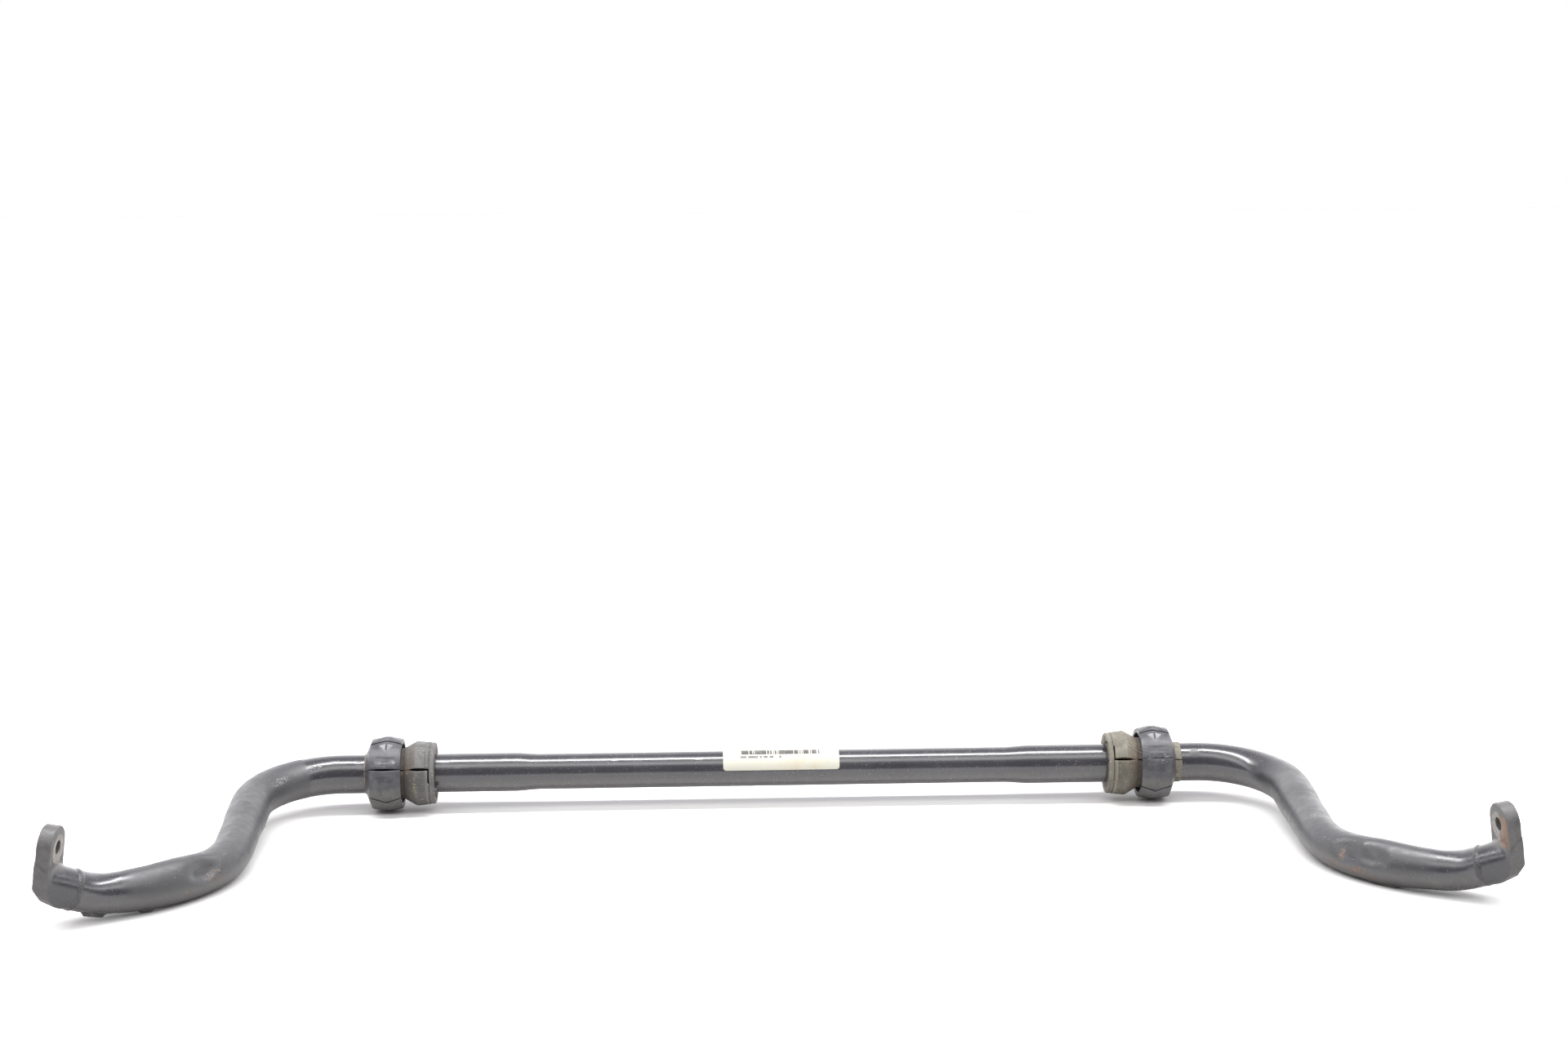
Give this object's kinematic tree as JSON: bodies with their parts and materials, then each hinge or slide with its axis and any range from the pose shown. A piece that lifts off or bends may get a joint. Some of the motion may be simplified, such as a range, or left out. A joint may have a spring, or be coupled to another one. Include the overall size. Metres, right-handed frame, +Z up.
{
  "type": "sway bar",
  "caption": "Tubular U-shaped sway bar with S-bent arms, flat forged link eyes and two split rubber bushes in ridged shells.",
  "frame": {"origin": "middle of the torsion axis, which is the centreline of the straight span, half way between the two crown rings", "axes": "+X along the torsion axis to the right-hand end, -Y the way the arms point, +Z up as the bar rests on a flat surface"},
  "size_m": [1.0796, 0.3245, 0.0792],
  "materials": {
    "black_paint": "semi-gloss black powder coat with dust, scuffs and rust where it is chipped",
    "forged_steel": "painted forging, bare and rusty round the hole",
    "weld_bead": "painted weld bead",
    "bush_rubber": "dusty rubber, stained brown",
    "crown_plastic": "black moulded shell, scuffed",
    "collar_plastic": "dusty moulded plastic",
    "ring_plastic": "dusty moulded plastic",
    "liner_plastic": "thin low-friction sleeve, dirty",
    "paper_label": "paper label, stained"
  },
  "bodies": {
    "bar": {"bar_tube": "black_paint", "left_link_eye": "forged_steel", "right_link_eye": "forged_steel", "left_end_weld": "weld_bead", "right_end_weld": "weld_bead", "part_label": "paper_label"},
    "left_bush": {"left_bush_liner": "liner_plastic", "left_bush_rubber": "bush_rubber", "left_crown_upper": "crown_plastic", "left_crown_lower": "crown_plastic", "left_collar_upper": "collar_plastic", "left_collar_lower": "collar_plastic", "left_stop_ring": "ring_plastic"},
    "right_bush": {"right_bush_liner": "liner_plastic", "right_bush_rubber": "bush_rubber", "right_crown_upper": "crown_plastic", "right_crown_lower": "crown_plastic", "right_collar_upper": "collar_plastic", "right_collar_lower": "collar_plastic", "right_stop_ring": "ring_plastic"}
  },
  "joints": [
    {"name": "left_bush_turn", "type": "hinge", "parent": "bar", "child": "left_bush", "pos_m": [-0.32, 0, 0], "axis": [1, 0, 0], "range_deg": [-25, 25]},
    {"name": "right_bush_turn", "type": "hinge", "parent": "bar", "child": "right_bush", "pos_m": [0.32, 0, 0], "axis": [1, 0, 0], "range_deg": [-25, 25]}
  ]
}
